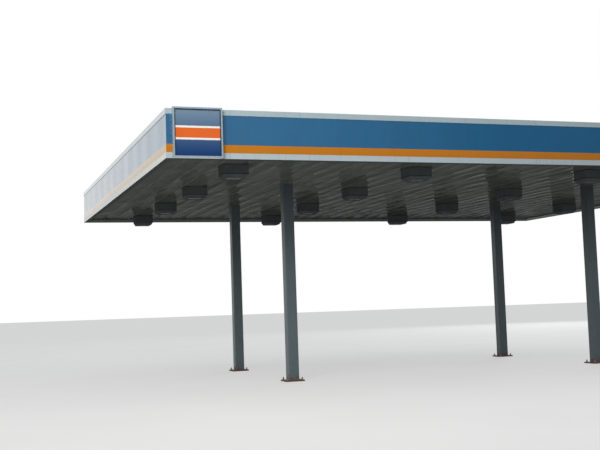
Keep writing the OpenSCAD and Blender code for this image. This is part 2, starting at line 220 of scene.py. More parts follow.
def place_camera():
    """Stands the camera before the front left corner, at eye height."""
    data = bpy.data.cameras.new("camera")
    data.lens = LENS
    data.sensor_width = 36.0
    data.sensor_fit = "HORIZONTAL"
    data.clip_end = 500.0
    camera = new_object("camera", data)
    heading = Matrix.Rotation(HEADING, 4, "Z")
    tilt = Matrix.Rotation(math.pi / 2 + TILT, 4, "X")
    roll = Matrix.Rotation(ROLL, 4, "Z")
    camera.matrix_world = Matrix.Translation(EYE) @ heading @ tilt @ roll
    bpy.context.scene.camera = camera
    bpy.context.scene.view_settings.view_transform = "Standard"


def seen_rays(net):
    """1 for the rays that show a background, straight or by a reflection, and 0 for light."""
    rays = net.outputs(net.add("ShaderNodeLightPath"))
    seen = net.math("ADD", rays["Is Camera Ray"], rays["Is Glossy Ray"], clamp=True)
    return net.math("ADD", seen, rays["Is Transmission Ray"], clamp=True)


def lay_floor():
    """A plain pale floor, large enough to meet the background."""
    half = FLOOR_HALF
    corners = [(-half, -half, 0.0), (half, -half, 0.0), (half, half, 0.0), (-half, half, 0.0)]
    mesh = bpy.data.meshes.new("floor")
    mesh.from_pydata(corners, [], [(0, 1, 2, 3)])
    floor = new_object("floor", mesh)
    material = bpy.data.materials.new("floor_matt")
    material.use_nodes = True
    net = Net(material.node_tree)
    shader = net.tree.nodes["Principled BSDF"]
    cloud = net.spread(net.noise(0.35, 4.0), 0.3, 0.7)
    tone = net.blend(cloud, rgb(214, 214, 212), rgb(222, 222, 220))
    net.fill(shader, {"Base Color": tone, "Roughness": 0.95, "Specular IOR Level": 0.1})
    glow = net.out("ShaderNodeEmission", {"Color": WHITE, "Strength": 1.0})
    both = net.out("ShaderNodeMixShader", {
        0: seen_rays(net) * 0.5, 1: Output(net, shader.outputs[0]), 2: glow})
    net.fill(net.tree.nodes["Material Output"], {"Surface": both})
    mesh.materials.append(material)


def light_scene():
    """A white background, an even sky light and two large soft lamps, one before the front left
    corner and one beyond the rear right."""
    world = bpy.data.worlds.new("studio")
    world.use_nodes = True
    bpy.context.scene.world = world
    net = Net(world.node_tree)
    net.tree.nodes.clear()
    sky = net.out("ShaderNodeBackground", {"Color": (0.94, 0.97, 1.0, 1.0), "Strength": 0.42})
    white = net.out("ShaderNodeBackground", {"Color": WHITE, "Strength": 1.0})
    both = net.out("ShaderNodeMixShader", {0: seen_rays(net), 1: sky, 2: white})
    net.add("ShaderNodeOutputWorld", {"Surface": both})
    for name, place, width, watts, colour in LAMPS:
        data = bpy.data.lights.new(name, "AREA")
        data.shape = "DISK"
        data.size = width
        data.energy = watts
        data.color = colour
        data.spread = LAMP_SPREAD
        lamp = new_object(name, data)
        lamp.visible_camera = False
        turn = (Vector(place) - LAMP_TARGET).to_track_quat("Z", "Y").to_matrix().to_4x4()
        lamp.matrix_world = Matrix.Translation(place) @ turn


# Effects that several finishes share

def shared(effect, **numbers):
    """A shader group, from a function that takes its inputs and returns its outputs by name."""
    group = bpy.data.node_groups.new(effect.__name__, "ShaderNodeTree")
    add_numbers(group, numbers)
    net = Net(group)
    given = net.outputs(net.add("NodeGroupInput"))
    made = effect(net, *[given[spoken(label)] for label in numbers])
    for label in made:
        group.interface.new_socket(label, in_out="OUTPUT", socket_type="NodeSocketFloat")
    net.add("NodeGroupOutput", made)
    return group


def mottle(net, patch, fine_share):
    """Uneven tone: broad patches with smaller ones in them."""
    scale = 1.0 / patch
    broad = net.noise(scale, 4.0, 0.55, 0.3)
    fine = net.noise(scale * 11.0, 3.0)
    return {"Tone": net.spread(net.mix(fine_share, broad, fine), 0.32, 0.68)}


def rain_streaks(net, per_metre, cover):
    """Runs that rain leaves, long downwards and narrow across."""
    runs = net.noise(per_metre, 4.0, 0.6, stretch=(1.0, 1.0, 0.07))
    patch = net.noise(0.7, 2.0, stretch=(1.0, 1.0, 0.5))
    low = 0.72 - cover * 0.3
    return {"Mask": net.spread(runs, low, low + 0.16) * net.spread(patch, 0.35, 0.65)}


def settled_dust(net, patch, amount):
    """Dust and soot that settle on faces that look up."""
    up = net.spread(net.normals().part("Z"), 0.35, 0.95)
    grain = net.noise(1.0 / patch, 6.0, 0.62)
    return {"Mask": up * net.spread(grain, 0.25, 0.7, 0.35, 1.0) * amount}


def worn_edges(net, reach, amount):
    """Paint lost along edges and corners, broken up by grain."""
    rounded = net.out("ShaderNodeBevel", {"Radius": reach}, samples=3)
    flatness = net.out("ShaderNodeVectorMath", {0: net.normals(), 1: rounded}, "Value",
                       operation="DOT_PRODUCT")
    grain = net.noise(26.0, 5.0, 0.65)
    return {"Mask": net.spread(flatness, 0.995, 0.88) * net.spread(grain, 0.42, 0.6) * amount}


def paint_peel(net, grain, wave, wave_share):
    """The fine unevenness of sprayed paint, with slow waves under it, as a height."""
    fine = net.noise(grain, 2.0)
    slow = net.noise(wave, 1.0)
    return {"Height": net.mix(wave_share, fine, slow)}


def zinc_spangle(net, size):
    """The crystal pattern of galvanized sheet."""
    coords = net.coords()
    wobble = net.out("ShaderNodeTexNoise", {"Vector": coords, "Scale": 30.0}, "Color")
    small = net.out("ShaderNodeVectorMath", {0: wobble, "Scale": 0.012}, operation="SCALE")
    bent = net.out("ShaderNodeVectorMath", {0: coords, 1: small}, operation="ADD")
    cells = net.out("ShaderNodeTexVoronoi", {"Vector": bent, "Scale": 1.0 / size}, "Color")
    return {"Tone": net.out("ShaderNodeSeparateColor", {"Color": cells})}


def rust_bloom(net, start, reach, amount):
    """Rust that starts at a height and thins out upwards."""
    near = net.math("SUBTRACT", 1.0, (net.coords().part("Z") - start) / reach, clamp=True)
    grain = net.noise(17.0, 7.0, 0.68, 0.4)
    edge = 0.78 - near * (amount * 0.5)
    tone = net.spread(net.noise(60.0, 4.0), 0.3, 0.7)
    return {"Mask": net.spread(grain, edge, edge + 0.05), "Tone": tone}


MOTTLE = shared(mottle, patch=1.0, fine_share=0.4)
STREAKS = shared(rain_streaks, per_metre=9.0, cover=0.4)
DUST = shared(settled_dust, patch=0.4, amount=0.6)
WEAR = shared(worn_edges, reach=0.004, amount=0.5)
PEEL = shared(paint_peel, grain=260.0, wave=2.2, wave_share=0.5)
SPANGLE = shared(zinc_spangle, size=0.02)
RUST = shared(rust_bloom, start=0.0, reach=0.3, amount=0.6)

DIRT = rgb(74, 70, 62)
DUST_COLOUR = rgb(150, 145, 134)
RUST_DARK = rgb(70, 38, 24)
RUST_LIGHT = rgb(138, 78, 42)
# Painted shade for the faces that look down
UNDERSIDE_SHADE = rgb(82, 86, 84)
# The index and the share of shine of surfaces that stay dark at a low angle
DULL = (1.03, 0.02)


class Finish:
    """A material under construction: its net and shader, and its colour and roughness so far."""

    def __init__(self, name, colour, roughness, ior=1.45, level=0.5):
        self.material = bpy.data.materials.new(name + "_finish")
        self.material.use_nodes = True
        self.net = Net(self.material.node_tree)
        self.shader = self.net.tree.nodes["Principled BSDF"]
        self.fill({"IOR": ior, "Specular IOR Level": level})
        self.colour = colour
        self.roughness = roughness

    def fill(self, inputs):
        """Fills the shader's own inputs."""
        self.net.fill(self.shader, inputs)

    def use(self, group, **numbers):
        """Places a shared effect with this material's own values."""
        given = {spoken(label): value for label, value in numbers.items()}
        return self.net.outputs(self.net.add("ShaderNodeGroup", given, node_tree=group))

    def toned(self, level):
        """Multiplies the colour by a number."""
        grey = self.net.out("ShaderNodeCombineColor", {0: level, 1: level, 2: level})
        self.colour = self.net.blend(1.0, self.colour, grey, "MULTIPLY")

    def uneven(self, patch, amount, fine_share=0.4):
        """Lightens and darkens the colour in patches."""
        tone = self.use(MOTTLE, patch=patch, fine_share=fine_share)["Tone"]
        self.toned(self.net.spread(tone, 0.0, 1.0, 1.0 - amount, 1.0 + amount))
        shift = self.net.spread(tone, 0.0, 1.0, -0.05, 0.07)
        self.roughness = self.net.math("ADD", self.roughness, shift, clamp=True)

    def cover(self, mask, colour, roughness):
        """Lays another colour over the finish where the mask is."""
        self.colour = self.net.blend(mask, self.colour, colour)
        self.roughness = self.net.mix(mask, self.roughness, roughness)

    def streaked(self, per_metre, cover, strength, colour=DIRT):
        mask = self.use(STREAKS, per_metre=per_metre, cover=cover)["Mask"]
        self.cover(mask * strength, colour, 0.7)

    def dusty(self, patch, amount):
        self.cover(self.use(DUST, patch=patch, amount=amount)["Mask"], DUST_COLOUR, 0.9)

    def worn(self, reach, amount, under):
        self.cover(self.use(WEAR, reach=reach, amount=amount)["Mask"], under, 0.5)

    def rusted(self, start, reach, amount):
        rust = self.use(RUST, start=start, reach=reach, amount=amount)
        self.cover(rust["Mask"], self.net.blend(rust["Tone"], RUST_DARK, RUST_LIGHT), 0.88)

    def painted_shade_along(self, axis, low, high, level):
        """Painted shade: darkens the colour along an axis of the canopy, down to a level at the
        high end.
        """
        self.toned(self.net.spread(self.net.coords().part(axis), low, high, 1.0, level))

    def painted_side_sheen(self, colour):
        """Gives the short sides a paler tone, a painted sheen of bright sky, and returns where they
        are.
        """
        across = self.net.math("ABSOLUTE", self.net.normals().part("X"))
        sides = self.net.spread(across, 0.2, 0.4)
        self.colour = self.net.blend(sides, self.colour, colour)
        return sides

    def jointed(self):
        """Hairlines where the lengths of sheet meet, in line with the seams of the panels."""
        coords = self.net.coords()
        lines = 0.0
        for axis, seams in (("X", SEAM_XS), ("Y", SEAM_YS)):
            for seam in seams:
                near = self.net.math("COMPARE", coords.part(axis), seam, 0.0014)
                lines = self.net.math("ADD", lines, near, clamp=True)
        self.cover(lines, rgb(60, 62, 62), 0.8)

    def coated(self, ior, weight=1.0):
        self.fill({"Coat Weight": weight, "Coat IOR": ior, "Coat Roughness": 0.12})

    def painted_shade_below(self):
        """Painted shade: a dark colour on the faces that look down, where a coat ends."""
        below = self.net.spread(self.net.normals().part("Z"), -0.5, -0.7)
        self.cover(below, UNDERSIDE_SHADE, 0.3)
        if self.shader.inputs["Coat Weight"].default_value > 0.0:
            self.fill({"Coat Weight": 1.0 - below})

    def bumped(self, height, distance, strength=0.6):
        self.fill({"Normal": self.net.out("ShaderNodeBump", {
            "Height": height, "Distance": distance, "Strength": strength})})

    def done(self, peel=0.0, wave=2.2, wave_share=0.5, grain=260.0):
        """Feeds the shader, with the unevenness of paint where its depth is given."""
        if peel:
            made = self.use(PEEL, grain=grain, wave=wave, wave_share=wave_share)
            self.bumped(made["Height"], peel)
        self.fill({"Base Color": self.colour, "Roughness": self.roughness})
        return self.material


# Finishes

def column_paint():
    made = Finish("column", rgb(88, 102, 108), 0.42)
    made.uneven(0.8, 0.1)
    # Painted shade: darker towards the right-hand columns and towards the tops under the canopy.
    made.painted_shade_along("X", -4.0, 4.0, 0.72)
    made.painted_shade_along("Z", 2.6, 4.5, 0.66)
    made.streaked(14.0, 0.5, 0.35)
    made.worn(0.006, 0.5, rgb(120, 118, 112))
    made.rusted(0.03, 0.5, 0.62)
    return made.done(0.0006)


def base_paint():
    made = Finish("base_plate", rgb(84, 88, 90), 0.55)
    made.uneven(0.3, 0.12)
    made.rusted(0.0, 0.2, 0.8)
    made.worn(0.006, 0.7, rgb(96, 66, 48))
    made.dusty(0.15, 0.6)
    return made.done(0.0008, wave_share=0.2)


def steel_primer(name, colour):
    made = Finish(name, colour, 0.62)
    made.uneven(0.7, 0.09)
    made.dusty(0.35, 0.55)
    made.worn(0.004, 0.6, rgb(112, 92, 78))
    return made.done(0.0005, wave_share=0.2)


def soffit_sheet(name):
    """Glossy sheet. Its dark grey is painted shade, standing for the shade under the canopy. Each
    pan has its own tone, pale lines along both edges that are painted highlights, dull runs along
    its length that are partly dirt and partly painted reflection, swirls of painted reflection,
    painted shade towards the right and rear, and a slight belly and waves that show in the gloss."""
    # Painted shade: a dark grey for the shaded underside.
    made = Finish(name, rgb(90, 94, 88), 0.07, 1.03, 0.04)
    net = made.net
    pans = (net.coords().part("X") + DECK_W / 2) / PAN_PITCH
    own = net.out("ShaderNodeTexWhiteNoise", {"W": net.math("FLOOR", pans)}, noise_dimensions="1D")
    made.toned(net.spread(own, 0.0, 1.0, 0.84, 1.14))
    from_middle = net.math("FRACT", pans) - 0.5
    from_edge = (0.5 - net.math("ABSOLUTE", from_middle)) * PAN_PITCH
    broken = net.noise(1.0, 4.0, stretch=(2.0, 1.4, 1.0))
    # Painted highlights: pale lines along both edges of each pan.
    line = net.spread(from_edge, 0.0065, 0.008, 1.0, 0.0)
    made.cover(line * net.spread(broken, 0.35, 0.6, 0.25, 1.0), rgb(140, 147, 150), 0.25)
    # Runs along the pans: partly dull dirt, partly painted streaks of reflection.
    runs = net.noise(1.0, 5.0, 0.6, stretch=(9.0, 0.5, 1.0))
    made.cover(net.spread(runs, 0.5, 0.75, 0.0, 0.3), rgb(84, 86, 83), 0.24)
    # Painted reflection: swirls in the tone.
    reflection_swirls = net.noise(1.0, 2.0, 0.5, 1.6, (2.6, 0.7, 1.0))
    made.toned(net.spread(net.math("PINGPONG", reflection_swirls * 7.0, 1.0), 0.0, 1.0, 0.94, 1.08))
    made.uneven(1.4, 0.1)
    # Painted shade: darker towards the right and the rear.
    made.painted_shade_along("X", -3.0, 6.0, 0.78)
    made.painted_shade_along("Y", -4.5, 6.0, 0.7)
    made.cover(net.spread(net.normals().part("Z"), 0.3, 0.6), rgb(88, 90, 88), 0.6)
    made.dusty(0.5, 0.8)
    waves = net.noise(1.0, 1.0, stretch=(4.2, 0.9, 1.0)) * 0.028
    belly = net.math("POWER", from_middle, 2.0) * 0.036
    made.bumped(waves + belly, 1.0, 1.0)
    return made.done()


def panel_film():
    """Blue film that bulges a little between the posts. Its short sides are paler, a painted sheen.
    Its coat is dulled towards the right of the long sides."""
    made = Finish("panel", rgb(28, 92, 133), 0.2, 1.2)
    # Painted sheen: the short sides are paler.
    sides = made.painted_side_sheen(rgb(36, 107, 142))
    made.uneven(2.2, 0.05)
    made.streaked(7.0, 0.45, 0.16, rgb(92, 104, 110))
    made.dusty(0.5, 0.5)
    net = made.net
    coords = net.coords()
    on_front = net.spread(coords.part("X"), -6.5, -1.2, 1.0, 0.05)
    made.coated(1.36, net.mix(sides, on_front, 0.9))
    per_metre = math.tau / POST_PITCH
    along_x, along_y = [net.math("SINE", coords.part(axis) * per_metre) for axis in "XY"]
    loose = net.noise(1.0, 3.0, stretch=(1.3, 1.3, 0.2))
    made.bumped(loose * 1.5 + along_x + along_y, 0.006, 1.0)
    return made.done()


def gloss_sheet(name, colour, soil, ior=1.3, level=0.5, coat=1.3, side=None):
    """Coated sheet, with a paler tone on the short sides where one is given, a painted sheen."""
    made = Finish(name, colour, 0.2, ior, level)
    if side:
        # Painted sheen on the short sides.
        made.painted_side_sheen(side)
    made.coated(coat)
    made.uneven(1.6, 0.04)
    made.streaked(11.0, 0.5, soil)
    made.dusty(0.3, 0.6)
    made.worn(0.003, 0.35, rgb(132, 130, 124))
    made.jointed()
    return made


def stripe_film():
    # The short sides' paler orange is a painted sheen.
    made = gloss_sheet("stripe", rgb(184, 112, 6), 0.15, 1.2, coat=1.2, side=rgb(181, 134, 46))
    return made.done(0.0009, 1.4, 0.6)


def trim_sheet():
    """White at the sides as a painted sheen, and dark like the soffit's on the return under the
    fascia as painted shade.
    """
    made = gloss_sheet("trim", rgb(169, 182, 188), 0.3, *DULL, side=rgb(213, 216, 205))
    # Painted shade on the return that looks down.
    made.painted_shade_below()
    return made.done(0.0009, 1.4, 0.6)


def sign_plastic():
    """A blank face: blue that pales upwards as a painted reflection of the sky, with a plain orange
    band edged in white.
    """
    made = Finish("sign_face", rgb(24, 62, 132), 0.12, 1.2)
    net = made.net
    # Painted reflection: the blue pales upwards.
    up = net.spread(net.coords().part("Z"), CLEARANCE, FASCIA_TOP)
    made.colour = net.blend(net.math("POWER", up, 1.4), rgb(4, 52, 108), rgb(112, 137, 156))
    for low, high, colour in ((0.36, 0.64, rgb(226, 226, 222)), (0.4, 0.6, rgb(214, 98, 40))):
        band = net.math("GREATER_THAN", up, low) * net.math("LESS_THAN", up, high)
        made.colour = net.blend(band, made.colour, colour)
    made.uneven(0.5, 0.03)
    made.streaked(16.0, 0.4, 0.12)
    return made.done(0.0006, 3.0, 0.9)


def galvanized(name, size, level=1.0):
    made = Finish(name, rgb(150, 153, 154), 0.45)
    made.fill({"Metallic": 0.75})
    tone = made.use(SPANGLE, size=size)["Tone"]
    dark, light = [rgb(*[value * level for value in colour])
                   for colour in ((134, 138, 140), (168, 171, 172))]
    made.colour = made.net.blend(tone, dark, light)
    made.roughness = made.net.spread(tone, 0.0, 1.0, 0.36, 0.54)
    made.uneven(0.5, 0.08)
    made.dusty(0.3, 0.5)
    made.rusted(CLEARANCE - 1.0, 2.4, 0.3)
    return made.done(0.0004, wave_share=0.1)


def gutter_sheet():
    """Pale inside and on the sides, and dark like the soffit below as painted shade."""
    made = Finish("gutter", rgb(150, 153, 151), 0.42, *DULL)
    made.uneven(0.5, 0.08)
    made.streaked(11.0, 0.5, 0.4)
    made.dusty(0.3, 0.7)
    made.rusted(CLEARANCE - 1.0, 2.4, 0.3)
    # Painted shade on the faces that look down.
    made.painted_shade_below()
    return made.done(0.0005, wave_share=0.3)


def housing_paint():
    made = Finish("housing", rgb(92, 97, 98), 0.5, *DULL)
    made.uneven(0.3, 0.12)
    made.streaked(20.0, 0.4, 0.3, rgb(88, 84, 76))
    made.worn(0.004, 0.5, rgb(104, 102, 96))
    return made.done(0.0008, wave_share=0.15, grain=320.0)


def lens_glass():
    made = Finish("lens", rgb(118, 124, 124), 0.3, 1.12)
    made.fill({"Transmission Weight": 0.4})
    made.uneven(0.08, 0.05)
    return made.done(0.001, 60.0, 0.8)


def rubber_finish():
    made = Finish("rubber", rgb(34, 34, 35), 0.7)
    made.uneven(0.15, 0.15)
    made.dusty(0.2, 0.4)
    return made.done(0.0004, wave_share=0.1)


# Those of the CAD nodes have their slots' names. The last five are for the small parts
FINISHES = {
    "column_paint": column_paint(),
    "base_plate_paint": base_paint(),
    "beam_paint": steel_primer("beam", rgb(146, 147, 144)),
    "purlin_paint": steel_primer("purlin", rgb(140, 142, 140)),
    "deck_paint": soffit_sheet("deck"),
    "collar_paint": soffit_sheet("collar"),
    "gutter_sheet": gutter_sheet(),
    "frame_steel": galvanized("frame", 0.02),
    "panel_blue": panel_film(),
    "coping_paint": gloss_sheet("coping", rgb(159, 176, 182), 0.25).done(0.0009, 1.4, 0.6),
    "stripe_orange": stripe_film(),
    "trim_white": trim_sheet(),
    "sign_case_metal": gloss_sheet("sign_case", rgb(136, 156, 171), 0.2).done(
        0.0006, 2.0, 0.4),
    "sign_face_plastic": sign_plastic(),
    "housing_paint": housing_paint(),
    "lens_glass": lens_glass(),
    "wiring_metal": galvanized("wiring", 0.008, 0.9),
    "bolt": galvanized("bolt", 0.012, 0.8),
    "screw": galvanized("screw", 0.01, 0.9),
    "bright": galvanized("latch", 0.01, 0.7),
    "weld": steel_primer("weld", rgb(92, 97, 98)),
    "rubber": rubber_finish(),
}


def dress_nodes():
    """Gives every CAD node the finish of its own slot."""
    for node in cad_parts.values():
        for place, held in enumerate(node.data.materials):
            node.data.materials[place] = FINISHES[held.name]


# Small parts: one tree for each shape, set on the points of a layout

HALF_TURN = math.pi
QUARTER = math.pi / 2
ZEROS = (0.0, 0.0, 0.0)
# Turns that point a part's own Z another way
DOWN = (HALF_TURN, 0.0, 0.0)
TO_RIGHT = (0.0, QUARTER, 0.0)
TO_LEFT = (0.0, -QUARTER, 0.0)
TO_REAR = (-QUARTER, 0.0, 0.0)
TO_FRONT = (QUARTER, 0.0, 0.0)


class Shape:
    """A geometry node tree that joins simple solids into one small part. Its sizes are named
    inputs. Local +Z points away from the face that the part sits on."""

    def __init__(self, name, **sizes):
        self.tree = bpy.data.node_groups.new(name, "GeometryNodeTree")
        face = self.tree.interface
        face.new_socket("Layout", in_out="INPUT", socket_type="NodeSocketGeometry")
        add_numbers(self.tree, sizes)
        face.new_socket("Finish", in_out="INPUT", socket_type="NodeSocketMaterial")
        face.new_socket("Mesh", in_out="OUTPUT", socket_type="NodeSocketGeometry")
        self.net = Net(self.tree)
        self.given = self.net.outputs(self.net.add("NodeGroupInput"))
        self.sizes = [self.given[spoken(label)] for label in sizes]
        self.joined = self.net.add("GeometryNodeJoinGeometry")

    def triple(self, values):
        return self.net.out("ShaderNodeCombineXYZ", dict(enumerate(values)))

    def moved(self, mesh, at, turn=ZEROS):
        return self.net.out("GeometryNodeTransform", {
            "Geometry": mesh, "Rotation": turn, "Translation": self.triple(at)})

    def keep(self, mesh, at=ZEROS, turn=ZEROS):
        self.net.fill(self.joined, {0: self.moved(mesh, at, turn)})

    def cone(self, sides, low, high, height):
        return self.net.out("GeometryNodeMeshCone", {
            "Vertices": sides, "Radius Bottom": low, "Radius Top": high, "Depth": height})

    def prism(self, sides, radius, height, at=ZEROS, turn=ZEROS):
        """A prism that stands on a point."""
        self.keep(self.cone(sides, radius, radius, height), at, turn)

    def block(self, size, at):
        """A block whose middle is at a point."""
        self.keep(self.net.out("GeometryNodeMeshCube", {"Size": self.triple(size)}), at)

    def bolt_head(self, flats, height, at=ZEROS, turn=ZEROS):
        """A hexagon with a chamfered top. Its height is along the turned Z."""
        radius = flats * 0.577
        straight = height * 0.84
        self.prism(6, radius, straight, at, turn)
        crown = self.cone(6, radius, radius * 0.87, height * 0.16)
        self.keep(self.moved(crown, (0.0, 0.0, straight)), at, turn)

    def on_points(self, seed, spin=0.0):
        """Sets the part on each point, turned as the point says, and spun a little at random."""
        net = self.net
        turns = net.out("GeometryNodeInputNamedAttribute", {"Name": "turn"}, "Attribute",
                        data_type="FLOAT_VECTOR")
        many = net.out("GeometryNodeInstanceOnPoints", {
            "Points": self.given["Layout"], "Instance": Output(net, self.joined.outputs[0]),
            "Rotation": turns})
        angle = net.out("FunctionNodeRandomValue", {"Seed": seed, 2: -spin, 3: spin}, 1,
                        data_type="FLOAT")
        return self.close(net.out("GeometryNodeRotateInstances", {
            "Instances": many, "Rotation": self.triple((0.0, 0.0, angle)), "Local Space": True}))

    def close(self, mesh):
        """Ends the tree with one real mesh in the given finish."""
        real = self.net.out("GeometryNodeRealizeInstances", {"Geometry": mesh})
        dressed = self.net.out("GeometryNodeSetMaterial", {
            "Geometry": real, "Material": self.given["Finish"]})
        self.net.add("NodeGroupOutput", {"Mesh": dressed})
        return self.tree

    def set_on(self, name, spots, finish, slot, seed, spin=0.0):
        """Makes a piece with this part on every spot."""
        make_piece(name, layout(spots), self.on_points(seed, spin), finish, slot)


def layout(spots):
    """A mesh of loose points. Each spot is (x, y, z), or that with turns about X, Y and Z."""
    mesh = bpy.data.meshes.new("layout")
    mesh.from_pydata([spot[:3] for spot in spots], [], [])
    turns = mesh.attributes.new("turn", "FLOAT_VECTOR", "POINT")
    for place, spot in enumerate(spots):
        turns.data[place].vector = spot[3:] or ZEROS
    return mesh


def outlines(loops):
    """A mesh of closed lines, one for each list of points."""
    points, edges = [], []
    for loop in loops:
        first = len(points)
        points += loop
        edges += [(i, i + 1) for i in range(first, len(points) - 1)]
        edges.append((len(points) - 1, first))
    mesh = bpy.data.meshes.new("outlines")
    mesh.from_pydata(points, edges, [])
    return mesh


def make_piece(name, mesh, tree, finish, slot, **sizes):
    """Runs a tree on a layout, keeps the result as a plain mesh and hangs it on the canopy. A
    size that isn't given is the tree's own."""
    piece = new_object(name, mesh)
    modifier = piece.modifiers.new("shape", "NODES")
    modifier.node_group = tree
    given = {spoken(label): value for label, value in sizes.items()}
    given["Finish"] = FINISHES[finish]
    for item in tree.interface.items_tree:
        if item.in_out == "INPUT" and item.name != "Layout":
            modifier[item.identifier] = given.get(item.name, item.default_value)
    done = piece.evaluated_get(bpy.context.evaluated_depsgraph_get())
    made = bpy.data.meshes.new_from_object(done)
    piece.modifiers.remove(modifier)
    made.materials.clear()
    made.materials.append(FINISHES[finish])
    made.polygons.foreach_set("material_index", [0] * len(made.polygons))
    piece.data = made
    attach(piece, "root")


def along(low, high, step):
    """Even places between two ends, about a step apart."""
    count = max(1, round((high - low) / step))
    return [low + (high - low) * i / count for i in range(count + 1)]


def corners_round(x, y, reach_x, reach_y):
    return [(x + sx * reach_x, y + sy * reach_y) for sx in (-1, 1) for sy in (-1, 1)]


def round_the_fascia(inset, step, margin):
    """Places along all four sides, inset from the outer faces, with the turn about Z that
    faces local +Y inwards."""
    half_w, half_d = CANOPY_W / 2, CANOPY_D / 2
    spots = []
    for x in along(margin - half_w, half_w - margin, step):
        spots.append((x, FRONT_Y + inset, 0.0))
        spots.append((x, REAR_Y - inset, HALF_TURN))
    for y in along(margin - half_d, half_d - margin, step):
        spots.append((inset - half_w, CENTRE_Y + y, -QUARTER))
        spots.append((half_w - inset, CENTRE_Y + y, QUARTER))
    return spots


def column_outline(half, radius):
    """A square with round corners, like the column tube's outline."""
    points = []
    for quarter, (sx, sy) in enumerate(((1, 1), (-1, 1), (-1, -1), (1, -1))):
        for step in range(5):
            angle = (quarter + step / 4) * QUARTER
            points.append((sx * (half - radius) + radius * math.cos(angle),
                           sy * (half - radius) + radius * math.sin(angle)))
    return points


def clear_of_beams(x):
    """Whether a rib isn't under a main beam, where a fixing has no room."""
    room = 0.13
    return abs(abs(x) - COLUMN_X) > room


# Fixings of the steel

def anchor_bolts():
    """Washer, nut and threaded end at each hole of the base plates."""
    thread_pitch, hole_reach = 0.0035, 0.178
    shape = Shape("anchor_bolt", flats=0.046, nut_height=0.025, thread=0.03, reach=0.062)
    flats, nut_height, thread, reach = shape.sizes
    shape.prism(18, flats * 0.62, 0.004)
    shape.bolt_head(flats, nut_height, (0.0, 0.0, 0.004))
    shape.prism(14, thread * 0.47, 0.04, (0.0, 0.0, -0.0315))
    net = shape.net
    rod = net.out("GeometryNodeMeshCylinder", {
        "Vertices": 14, "Side Segments": 36, "Radius": thread * 0.5, "Depth": reach - 0.026})
    spot = net.out("GeometryNodeInputPosition")
    flat = shape.triple((spot.part("X"), spot.part("Y"), 0.0))
    wave = net.math("SINE", spot.part("Z") * (math.tau / thread_pitch))
    push = net.out("ShaderNodeVectorMath", {0: flat, "Scale": wave * 0.05}, operation="SCALE")
    cut = net.out("GeometryNodeSetPosition", {"Geometry": rod, "Offset": push})
    shape.keep(cut, (0.0, 0.0, reach * 0.5 + 0.013))
    spots = [(*spot, BASE_TOP) for x, y in COLUMNS
             for spot in corners_round(x, y, hole_reach, hole_reach)]
    shape.set_on("anchor_bolts", spots, "bolt", "base_plate_paint", 3, 3.1)


def weld_beads():
    """Rippled welds round the columns, on the base plates and under the cap plates."""
    outline = column_outline(0.129, 0.021)
    heights = (BASE_TOP + 0.0025, STEEL_Z - 0.0215)
    shape = Shape("weld_bead", bead=0.0065, ripple=0.006)
    bead, ripple = shape.sizes
    net = shape.net
    line = net.out("GeometryNodeMeshToCurve", {"Mesh": shape.given["Layout"]})
    fine = net.out("GeometryNodeResampleCurve", {"Curve": line, "Length": 0.004}, mode="LENGTH")
    run = net.out("GeometryNodeSplineParameter", output="Length")
    wave = net.math("SINE", run * math.tau / ripple)
    uneven = net.out("ShaderNodeTexNoise", {"Scale": 40.0, "Detail": 1.0})
    radius = wave * 0.1 + 0.75 + uneven * 0.5
    sized = net.out("GeometryNodeSetCurveRadius", {"Curve": fine, "Radius": radius})
    profile = net.out("GeometryNodeCurvePrimitiveCircle", {"Resolution": 6, "Radius": bead})
    swept = net.out("GeometryNodeCurveToMesh", {
        "Curve": sized, "Scale": radius, "Profile Curve": profile})
    loops = [[(x + px, y + py, z) for px, py in outline] for x, y in COLUMNS for z in heights]
    make_piece("column_welds", outlines(loops), shape.close(swept), "weld", "column_paint")


def cap_bolts():
    """Bolts through each cap plate and the beam's flange."""
    shape = Shape("cap_bolt", flats=0.03, head=0.013, grip=0.032)
    flats, head, grip = shape.sizes
    above = (0.0, 0.0, grip - 0.0162)
    shape.bolt_head(flats, head, (0.0, 0.0, -0.019), DOWN)
    shape.prism(14, flats * 0.6, 0.003, (0.0, 0.0, grip - 0.0192))
    shape.bolt_head(flats, head * 1.2, above)
    shape.prism(10, flats * 0.32, 0.024, above)
    spots = [(*spot, STEEL_Z, 0.0, 0.0, QUARTER) for x, y in COLUMNS
             for spot in corners_round(x, y, 0.06, 0.146)]
    shape.set_on("cap_bolts", spots, "bolt", "beam_paint", 5)


def deck_clips():
    """A bent clip with screws where a pan's rib hangs from a purlin's flange."""
    flange_half = 0.073
    shape = Shape("deck_clip", width=0.036, sheet=0.003, flange=0.0091)
    width, sheet, flange = shape.sizes
    shape.block((width, 0.042, sheet), (0.0, 0.024, 0.0016))
    shape.block((width, sheet, flange + 0.003), (0.0, 0.0032, flange * 0.5 + 0.0015))
    shape.block((width, 0.027, sheet), (0.0, -0.0085, flange + 0.0015))
    shape.block((sheet, 0.04, 0.034), (-0.0032, 0.025, -0.017))
    shape.bolt_head(0.01, 0.005, (0.01, 0.03, 0.003))
    shape.prism(10, 0.0075, 0.0012, (0.01, 0.03, 0.003))
    shape.bolt_head(0.008, 0.004, (-0.0047, 0.025, -0.02), TO_LEFT)
    spots = []
    for row, y in enumerate(PURLIN_YS):
        for place, x in enumerate(RIB_XS):
            if clear_of_beams(x):
                side, turn = (1, 0.0) if (row + place) % 2 else (-1, HALF_TURN)
                spots.append((x, y + side * flange_half, STEEL_Z, 0.0, 0.0, turn))
    shape.set_on("deck_clips", spots, "bolt", "frame_steel", 7, 0.03)


